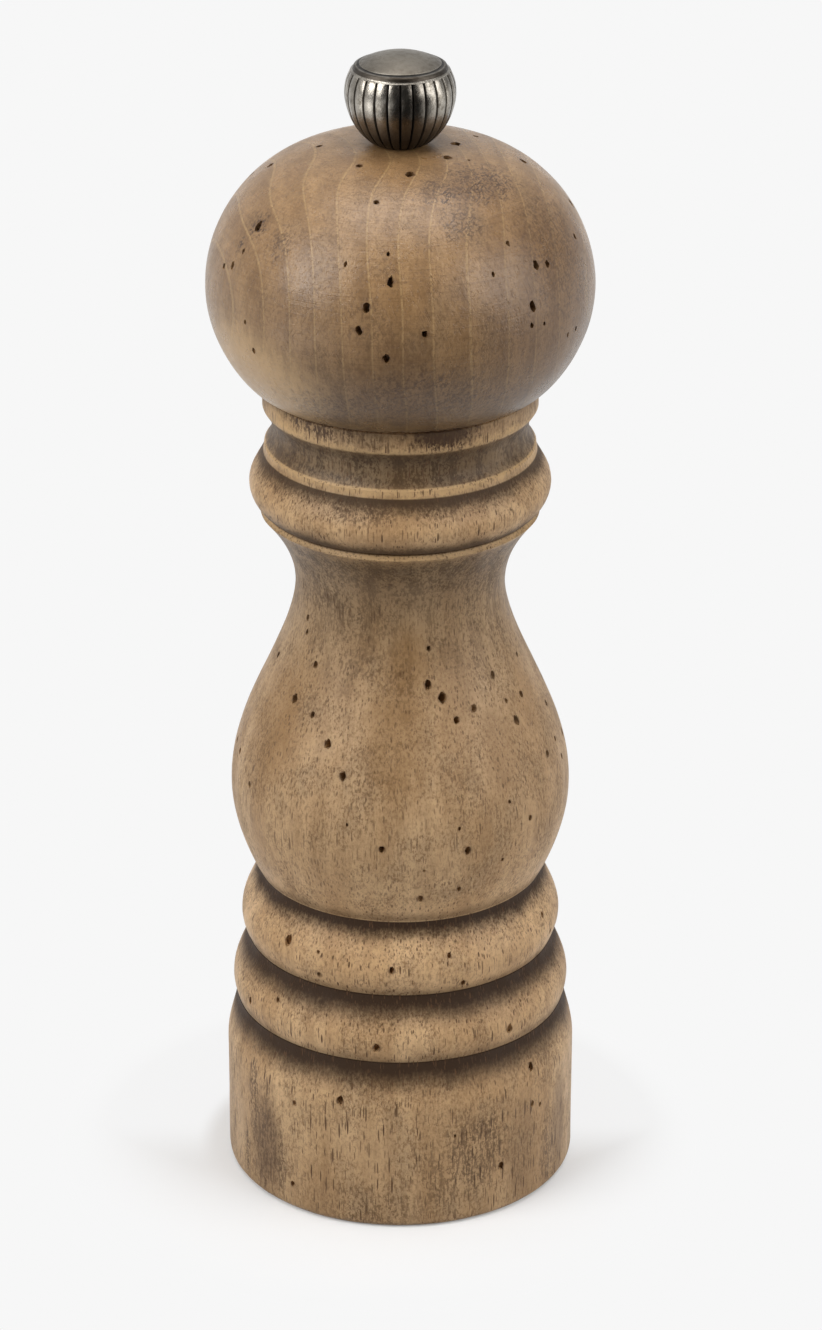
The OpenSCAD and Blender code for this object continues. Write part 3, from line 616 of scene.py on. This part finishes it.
    for edge, full, gone, strength in finish["paleBands"]:
        paleBand = band(edge, full, gone) * strength * (1 - 0.6 * speck)
        colour = look.mix(paleBand, colour, wood["pale"])
    waxAndShadeMask = 0.0
    for edge, full, gone, strength in finish["waxAndShadeBands"]:
        waxAndShade = band(edge, full, gone) * strength
        waxAndShadeMask = look.maths("MAXIMUM", waxAndShade, waxAndShadeMask)
        colour = look.mix(waxAndShade, colour, wood["waxAndShade"])
    # open pores: short dark strokes along the grain
    stroke = 0.0
    if finish["strokes"]:
        stroke = look.maths("MAXIMUM", look.strokes((0.52, 0.52, 5.6), 0.55, 14),
                            look.strokes((0.34, 0.34, 3.0), 0.5, 15) * 0.75)
        stroke = stroke * finish["strokes"]
        onBelly = look.rise(look.z, 60, 66) * look.rise(look.z, 136, 130)
        colour = look.mix(stroke * (1 - 0.35 * onBelly), colour, wood["stroke"])
    # old stains, each with its own ragged edge
    streak = grit + (fibre - 0.5) * 0.8
    if finish["scratches"]:
        streak = grit * 0.7 + look.strokes((2.6, 2.6, 0.4), 0.8, 17, (0, 30, 0)) * 0.3 + 0.12
    for k, (turn, height, wide, tall, strength) in enumerate(finish["stains"]):
        ragged = min(1.4, 0.3 + 0.22 * wide)
        stain = look.spot(pointOn(outline, turn, height), (wide, wide, tall), ragged, 20 + k)
        stain = stain * look.rise(streak, 0.44, 0.56, 0.14, 1.0) * strength
        colour = look.mix(stain * 0.85, colour, wood["pore"])
    # dirt round the wormholes and in them
    around = look.add("ShaderNodeAttribute", {"attribute_name": "holeStain"}, None, "Fac")
    colour = look.mix(look.rise(around * (0.6 + patches * 0.8), 0.15, 1.0, 0.0, 0.8), colour,
                      wood["dust"])
    rough = look.rise(patches, 0.35, 0.65, -0.05, 0.05) + waxAndShadeMask * 0.2 + finish["roughness"]
    height = grit * finish["grain"] + patches * 1.5 + rounds * turning - stroke * 1.6
    return look.close({"Base Color": colour, "Roughness": rough,
                       "Specular IOR Level": finish["specular"]},
                      height - speck * 0.4 - scratch * 0.5, 0.055)


def rawLook(name, wood):
    # bare wood in the bores: turned rings, pale and dusty
    look = Look(bpy.data.materials.new(name))
    rings = look.clouds((6, 6, 0.6), 31, 3.0, 0.6)
    fibre = look.clouds((0.5, 0.5, 5), 32, 2.0, 0.6)
    dust = look.clouds((5, 5, 9), 33, 3.0, 0.6)
    colour = look.mix(look.rise(fibre, 0.35, 0.7), wood["light"], wood["middle"])
    colour = look.mix(look.rise(rings, 0.5, 0.75, 0.0, 0.6), colour, wood["dark"])
    colour = look.mix(look.rise(dust, 0.5, 0.75, 0.0, 0.5), colour, wood["dust"])
    return look.close({"Base Color": colour, "Roughness": rings * 0.2 + 0.65},
                      rings + fibre * 0.6, 0.12)


def wearInside(piece, isInside, looks):
    # the first look outside, the second in the bores
    for look in looks:
        piece.data.materials.append(look)
    for face in piece.data.polygons:
        x, y, z = face.center / mm
        face.material_index = 1 if isInside(math.hypot(x, y), z) else 0


raw = rawLook("rawWood", agedWood)
wearInside(woodBody, lambda r, z: r < body["chamber"] + 0.5
           or z < body["rawBelow"] and r < body["recess"] + 0.2,
           (woodLook("agedBody", agedWood, bodyFinish, outside), raw))
wearInside(woodHead, lambda r, z: z < head["seam"] + 0.01
           or z < head["rawBelow"] and r < head["bore"] + 0.05,
           (woodLook("agedHead", agedWood, headFinish, ball), raw))
for piece, node, owner in ((woodBody, "wood_body", "mill_body"), (woodHead, "wood_head", "head")):
    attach(piece, owner)
    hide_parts(node)
print("wood finished")


# The fluted knob
knob = {
    "foot": (3.9, 203.4), "widest": (9.9, 212.9), "rim": (7.6, 218.0), "top": 220.0,
    "bore": 2.58, "boreTop": 215.4,
    "flutes": 26, "perFlute": 18, "grooveShare": 0.19, "grooveDepth": 0.5, "pillow": 0.14,
    "bandHeight": 1.1, "bandStep": 0.2, "rimGroove": 0.3, "sharp": 50,
}


def crowded(points, heights, reach, step):
    # the same outline with finer steps close to the given heights
    out = []
    for here, there in zip(points, points[1:]):
        near = any(abs((here[1] + there[1]) / 2 - h) < reach for h in heights)
        out += filled([here, there], step)[:-1] if near else [here]
    return out + [points[-1]]


def flutedKnob(shape):
    foot, widest, rim = shape["foot"], shape["widest"], shape["rim"]
    fluteTop = rim[1] - shape["bandHeight"]
    side = quarter(widest, foot, 0.6, 0.25)[::-1] + quarter(widest, rim, 0.55, 0.2)
    dome = [(rim[0] * (1 - k / 24), shape["top"] - (shape["top"] - rim[1]) * (1 - k / 24) ** 2)
            for k in range(25)]
    loop = crowded(filled(side + dome, 0.3), (fluteTop, rim[1]), 0.4, 0.05)
    loop += [(0, shape["boreTop"]), (shape["bore"], shape["boreTop"]), (shape["bore"], foot[1])]

    def relief(turn, radius, height):
        if radius <= shape["bore"] + 0.01 or height > rim[1] + 0.3:
            return 0
        share = turn * shape["flutes"] / (2 * math.pi) % 1 * 2 - 1    # 1 and -1 in a groove
        away = (1 - abs(share)) / shape["grooveShare"]
        groove = (1 - away ** 2) ** 0.5 if away < 1 else 0.0
        flute = groove * shape["grooveDepth"] + shape["pillow"] * share ** 2
        flute *= min(1.0, radius / 7) * clamped((fluteTop - height) / 0.12)
        # above the flutes a band lies lower, and a thin groove runs round the rim
        band = shape["bandStep"] * clamped((height - fluteTop) / 0.1)
        band *= clamped((rim[1] - 0.3 - height) / 0.4)
        rimCut = shape["rimGroove"] * clamped(1 - abs(height - rim[1]) / 0.16)
        return -(flute + band + rimCut)

    verts, faces = turned(loop, shape["flutes"] * shape["perFlute"], relief)
    return newPiece("knobShell", verts, faces, shape["sharp"])


pewter = {
    "bright": tone(172, 166, 156), "dull": tone(118, 111, 100), "patinaAndDarkReflection": tone(50, 43, 36),
    "soot": tone(18, 14, 11), "bottom": 205.5, "top": 211.5,
    # a painted dark reflection of the studio's front, over the front of the knob in the patina
    # colour
    "darkReflection": ((1.4, -9.3, 212.0), (4.8, 6, 14), 0.65),    # where, reach and strength
}


def pewterLook(name, metal, shape):
    look = Look(bpy.data.materials.new(name))
    mottle = look.clouds((1.1, 1.1, 1.4), 41, 4.0, 0.7)
    fine = look.clouds((0.22, 0.22, 0.3), 42, 3.0, 0.7)
    broad = look.clouds((4, 4, 5), 43, 2.0, 0.5)
    level = look.add("ShaderNodeVectorMath", {"operation": "MULTIPLY"},
                     {0: look.place, 1: (1, 1, 0)})
    radius = look.add("ShaderNodeVectorMath", {"operation": "LENGTH"}, {0: level}, "Value")
    turn = look.maths("ARCTAN2", look.x, look.y * -1) * (shape["flutes"] / (2 * math.pi))
    share = look.maths("ABSOLUTE", look.maths("FRACT", turn) * 2 - 1)
    fluteTop = shape["rim"][1] - shape["bandHeight"]
    groove = look.rise(share + (fine - 0.5) * 0.06, 1.0 - shape["grooveShare"] * 1.3, 0.92)
    groove = groove * look.rise(look.z, fluteTop + 0.05, fluteTop - 0.2)
    aboveRim = look.z - shape["rim"][1]
    ring = look.rise(look.maths("ABSOLUTE", aboveRim), 0.13, 0.05)
    ring = ring * look.rise(radius, shape["rim"][0] - 0.9, shape["rim"][0] - 0.5)
    band = look.rise(aboveRim, 0.2 - shape["bandHeight"], 0.35 - shape["bandHeight"])
    band = band * look.rise(aboveRim, -0.02, -0.2)
    onTop = look.rise(aboveRim, 0.0, 0.3)
    colour = look.mix(look.rise(mottle, 0.42, 0.72), metal["bright"], metal["dull"])
    # darker towards the bottom: patina, and a painted reflection of the brown wood below
    low = look.rise(look.z + (mottle - 0.5) * 6 + (broad - 0.5) * 4, metal["top"], metal["bottom"])
    colour = look.mix(low * 0.9, colour, metal["patinaAndDarkReflection"])
    colour = look.mix(look.rise(broad, 0.46, 0.66, 0.0, 0.4), colour, metal["patinaAndDarkReflection"])
    colour = look.mix(look.rise(fine, 0.55, 0.72) * 0.5, colour, metal["patinaAndDarkReflection"])
    # the painted dark reflection at the front of the knob
    where, reach, strength = metal["darkReflection"]
    colour = look.mix(look.spot(where, reach, 0.5, 44) * strength, colour, metal["patinaAndDarkReflection"])
    colour = look.mix(band * 0.9, colour, metal["patinaAndDarkReflection"])
    colour = look.mix(onTop * 0.7, colour, metal["dull"])
    colour = look.mix(onTop * look.rise(radius, 3, 7.6) * (mottle * 0.7), colour, metal["patinaAndDarkReflection"])
    deep = look.maths("MAXIMUM", groove, ring)
    colour = look.mix(deep * 0.97, colour, metal["soot"])
    rough = 0.2 + look.rise(mottle, 0.35, 0.7, 0.0, 0.14) + low * 0.16 + deep * 0.3
    rough = rough + onTop * 0.12 + band * 0.15
    shine = 1 - deep * 0.7 - low * 0.12
    return look.close({"Base Color": colour, "Metallic": shine, "Roughness": rough},
                      mottle * 0.7 + fine * 0.6, 0.05)


knobShell = flutedKnob(knob)
knobShell.data.materials.append(pewterLook("antiquePewter", pewter, knob))
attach(knobShell, "knob")
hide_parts("knob")
print("knob finished")


# Screws with a cross recess, two of each, and the threaded drive shaft
screws = {
    "retaining_screws": {
        "name": "retainingScrews", "owner": "mill_body", "side": 23.4,
        "foot": 2.8, "shoulder": 4.5, "tip": 19.5, "point": 2.2,
        "footRadius": 2.1, "headRadius": 2.7, "radius": 1.4,
        "arm": 1.35, "slot": 0.3, "depth": 0.9, "turns": (12, 57)},
    "drive_plate_screws": {
        "name": "drivePlateScrews", "owner": "head", "side": 9.0,
        "foot": 145.1, "shoulder": 146.3, "tip": 155.1, "point": 1.4,
        "footRadius": 2.0, "headRadius": 1.0, "radius": 1.0,
        "arm": 1.15, "slot": 0.26, "depth": 0.7, "turns": (30, 4)},
}
shaft = {
    "journal": (2.2, 2.1), "collar": (3.98, 7.9), "collarTop": 8.8, "width": 5.5, "edge": 0.25,
    "squareTop": 193.8, "threadRadius": 2.5, "threadDepth": 0.42, "pitch": 0.8, "top": 214.4,
    "chamfer": 0.5, "step": 0.1, "sharp": 40,
}


def prism(outline, low, high):
    count = len(outline)
    verts = [(x, y, low) for x, y in outline] + [(x, y, high) for x, y in outline]
    faces = [[k, (k + 1) % count, (k + 1) % count + count, k + count] for k in range(count)]
    return verts, faces + [list(range(count))[::-1], list(range(count, 2 * count))]


def both(parts):
    # one list of verts and faces out of several
    verts, faces = [], []
    for morePoints, moreFaces in parts:
        faces += [[v + len(verts) for v in face] for face in moreFaces]
        verts += morePoints
    return verts, faces


def crossScrews(shape):
    radius, foot, tip, shoulder = shape["radius"], shape["foot"], shape["tip"], shape["shoulder"]
    loop = [(0, foot), (shape["footRadius"] - 0.08, foot), (shape["headRadius"], shoulder),
            (radius, shoulder), (radius, tip - shape["point"]), (0, tip)]
    verts, faces = turned([p for p, q in zip(loop, [None] + loop) if p != q], 48)
    arm, slot = shape["arm"], shape["slot"]
    cross = [(arm, slot), (slot, slot), (slot, arm), (-slot, arm), (-slot, slot), (-arm, slot),
             (-arm, -slot), (-slot, -slot), (-slot, -arm), (slot, -arm), (slot, -slot),
             (arm, -slot)]
    pair, recesses = [], []
    for side, turn in zip((-1, 1), shape["turns"]):
        across = side * shape["side"]
        pair.append(([(x + across, y, z) for x, y, z in verts], faces))
        c, s = math.cos(math.radians(turn)), math.sin(math.radians(turn))
        recesses.append(prism([(x * c - y * s + across, x * s + y * c) for x, y in cross],
                              foot - 0.5, foot + shape["depth"]))
    piece = newPiece(shape["name"], *both(pair))
    carve(piece, newPiece("cutter", *both(recesses)))
    return piece


def threadedShaft(shape):
    half, radius, top = shape["width"] / 2, shape["threadRadius"], shape["top"]
    low, high = shape["squareTop"], shape["top"] - shape["chamfer"]
    count = round((high - low) / shape["step"])
    thread = [(radius, low + (high - low) * k / count) for k in range(count + 1)]
    journal, foot = shape["journal"]
    collar, collarFoot = shape["collar"]
    loop = [(0, foot), (journal - 0.3, foot), (journal, foot + 0.3), (journal, collarFoot),
            (collar, collarFoot), (collar, shape["collarTop"]), (half, shape["collarTop"]),
            (half, low)] + thread + [(radius - shape["chamfer"], top), (0, top)]

    def relief(turn, reach, height):
        if reach == half:    # the square part
            flat = half / max(abs(math.cos(turn)), abs(math.sin(turn)))
            return min(flat, half * 2 ** 0.5 - shape["edge"]) - half
        if reach != radius:
            return 0
        wave = ((height - low) / shape["pitch"] - turn / (2 * math.pi)) % 1
        groove = clamped(abs(2 * wave - 1) * 1.35 - 0.2)
        runOut = min(1.0, (height - low) / 0.3, (high - height) / 0.2)
        return -shape["threadDepth"] * groove * runOut

    return newPiece("threadedShaft", *turned(loop, 96, relief), shape["sharp"])


modelled = {node: (crossScrews(shape), shape["owner"]) for node, shape in screws.items()}
modelled["drive_shaft"] = (threadedShaft(shaft), "spindle")
for node, (piece, owner) in modelled.items():
    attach(piece, owner)
    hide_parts(node)
print("screws and shaft made")


# Finishes of the mechanism
metals = {
    "platedSteel": {
        "light": tone(190, 191, 190), "dark": tone(140, 140, 138), "grime": tone(70, 60, 48),
        "rough": 0.34, "grimeFrom": 0.58,
        "nodes": ["mechanism_housing", "spring_bridge", "retaining_bar", "drive_plate",
                  "rotor_washer", "drive_shaft", "retaining_screws", "drive_plate_screws"]},
    "hardenedSteel": {
        "light": tone(104, 103, 101), "dark": tone(62, 61, 60), "grime": tone(48, 38, 28),
        "rough": 0.42, "grimeFrom": 0.52, "nodes": ["rotor", "stator"]},
    "springSteel": {
        "light": tone(176, 176, 175), "dark": tone(120, 119, 117), "grime": tone(66, 56, 44),
        "rough": 0.28, "grimeFrom": 0.6, "nodes": ["spring"]},
    "satinBrass": {
        "light": tone(206, 172, 104), "dark": tone(158, 124, 66), "grime": tone(80, 60, 34),
        "rough": 0.32, "grimeFrom": 0.6, "nodes": ["bridge_rivets", "spring_washer"]},
}


def metalLook(name, metal):
    look = Look(bpy.data.materials.new(name))
    sheen = look.clouds((3, 3, 3), 51, 3.0, 0.6)
    brushed = look.clouds((5, 5, 0.14), 52, 2.0, 0.6)
    pepper = look.clouds((1.4, 1.4, 1.4), 53, 4.0, 0.65)
    colour = look.mix(look.rise(sheen, 0.35, 0.68), metal["light"], metal["dark"])
    grime = look.rise(pepper, metal["grimeFrom"], metal["grimeFrom"] + 0.14)
    colour = look.mix(grime * 0.8, colour, metal["grime"])
    rough = look.rise(brushed, 0.3, 0.7, metal["rough"] - 0.07, metal["rough"] + 0.1) + grime * 0.3
    return look.close({"Base Color": colour, "Metallic": 1 - grime * 0.8, "Roughness": rough},
                      brushed * 0.4 + pepper * 0.5, 0.03)


for name, metal in metals.items():
    finish = metalLook(name, metal)
    for node in metal["nodes"]:
        mesh = modelled[node][0].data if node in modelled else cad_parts[node].data
        mesh.materials.clear()
        mesh.materials.append(finish)
print("mechanism finished")


# Floor, lamps and camera
studio = {
    "white": 0.93, "floorSeen": 0.74, "floorOther": 0.46, "floorTop": 0.16, "ambient": 0.06,
    "cameraAt": (0, -0.8096, 0.47465), "cameraTilt": 24.74, "lens": 129.8, "shift": 0.00805,
    "floorReach": 9,
    # the shadow on the floor, in millimetres: its middle, where it fades, and its end behind
    "shadowMiddle": (-4, 0, 0), "shadowFade": (30, 62),
    "behindFrom": (-15, 7), "behindFade": (31, 36), "behindClear": 0.85,
    # the dark side of the floor, in front and to the right, which only glossy surfaces see
    "darkInFront": (-60, -320), "darkRight": (-420, -120), "darkness": 0.88,
    # places on the floor that they see brighter: middle, reach and strength
    "bounces": [((-640, -330, 0), (420, 330, 1), 2.0), ((650, -430, 0), (210, 260, 1), 1.5)],
    # name, where, aimed at, width, height, watts
    "lamps": [("leftBox", (-0.78, -0.45, 0.7), (0, 0, 0.1), 0.6, 0.7, 7.7),
              ("rightBox", (0.7, -0.55, 0.6), (0, 0, 0.1), 0.4, 0.6, 2.8),
              ("sideBox", (0.92, -0.22, 0.35), (0, 0, 0.1), 0.45, 0.9, 3.2),
              ("topBox", (0, -0.02, 1.1), (0, 0, 0.1), 1.0, 0.7, 7.2)],
}


def floorLook(light):
    # white to the camera far off, with the object's own soft shadow close by
    look = Look(bpy.data.materials.new("paleFloor"))
    path = look.add("ShaderNodeLightPath", None, None, "Is Camera Ray")
    gloss = path.also("Is Glossy Ray")
    seen = look.maths("MAXIMUM", path, look.maths("MAXIMUM", gloss,
                                                  path.also("Is Transmission Ray")))
    dim = look.rise(look.y, *light["darkInFront"]) * look.rise(look.x, *light["darkRight"]) * gloss
    grey = look.rise(seen, 0, 1, light["floorOther"], light["floorSeen"])
    shade = look.add("ShaderNodeBsdfDiffuse", None, {"Color": grey})
    lift = look.add("ShaderNodeEmission", None, {"Strength": seen * light["floorTop"]})
    near = look.add("ShaderNodeAddShader", None, {0: shade, 1: lift})
    bounce = 0.0
    for centre, reach, strength in light["bounces"]:
        bounce = look.spot(centre, reach) * strength + bounce
    glow = look.add("ShaderNodeEmission", None,
                    {"Strength": light["white"] - light["darkness"] * dim + bounce * gloss})
    away = look.add("ShaderNodeVectorMath", {"operation": "DISTANCE"},
                    {0: look.place, 1: light["shadowMiddle"]}, "Value")
    behind = look.rise(look.y, *light["behindFrom"]) * look.rise(away, *light["behindFade"])
    clear = look.maths("MAXIMUM", look.rise(away, *light["shadowFade"]),
                       behind * light["behindClear"])
    surface = look.add("ShaderNodeMixShader", None, {0: seen * clear, 1: near, 2: glow})
    look.add("ShaderNodeOutputMaterial", None, {"Surface": surface})
    return look.owner


def buildStudio(light):
    floorMesh = bpy.data.meshes.new("floor")
    far = light["floorReach"]
    floorMesh.from_pydata([(-far, -far, 0), (far, -far, 0), (far, far, 0), (-far, far, 0)], [],
                          [[0, 1, 2, 3]])
    floor = bpy.data.objects.new("floor", floorMesh)
    bpy.context.scene.collection.objects.link(floor)
    floorMesh.materials.append(floorLook(light))
    for name, where, aim, width, height, watts in light["lamps"]:
        data = bpy.data.lights.new(name, "AREA")
        data.shape, data.size, data.size_y, data.energy = "RECTANGLE", width, height, watts
        lamp = bpy.data.objects.new(name, data)
        lamp.location = where
        lamp.rotation_euler = (Vector(aim) - Vector(where)).to_track_quat("-Z", "Y").to_euler()
        bpy.context.scene.collection.objects.link(lamp)
    # white to the camera and to glossy rays, but dark in front and greyer on the right
    sky = Look(bpy.data.worlds.new("studio"), "Generated", 1)
    path = sky.add("ShaderNodeLightPath", None, None, "Is Camera Ray")
    seen = sky.maths("MAXIMUM", path, path.also("Is Transmission Ray"))
    gloss = path.also("Is Glossy Ray") * sky.rise(sky.y, -0.35, 0.25, 0.1, 1.0)
    gloss = gloss * sky.rise(sky.x, 0.3, 0.8, 1.0, 0.5)
    strength = sky.rise(sky.maths("MAXIMUM", seen, gloss), 0, 1, light["ambient"], light["white"])
    back = sky.add("ShaderNodeBackground", None, {"Strength": strength})
    sky.add("ShaderNodeOutputWorld", None, {"Surface": back})
    bpy.context.scene.world = sky.owner
    cameraData = bpy.data.cameras.new("camera")
    cameraData.lens, cameraData.shift_x = light["lens"], light["shift"]
    camera = bpy.data.objects.new("camera", cameraData)
    camera.location = light["cameraAt"]
    camera.rotation_euler = (math.radians(90 - light["cameraTilt"]), 0, 0)
    bpy.context.scene.collection.objects.link(camera)
    bpy.context.scene.camera = camera
    bpy.context.scene.view_settings.view_transform = "Standard"


buildStudio(studio)
print("studio ready")
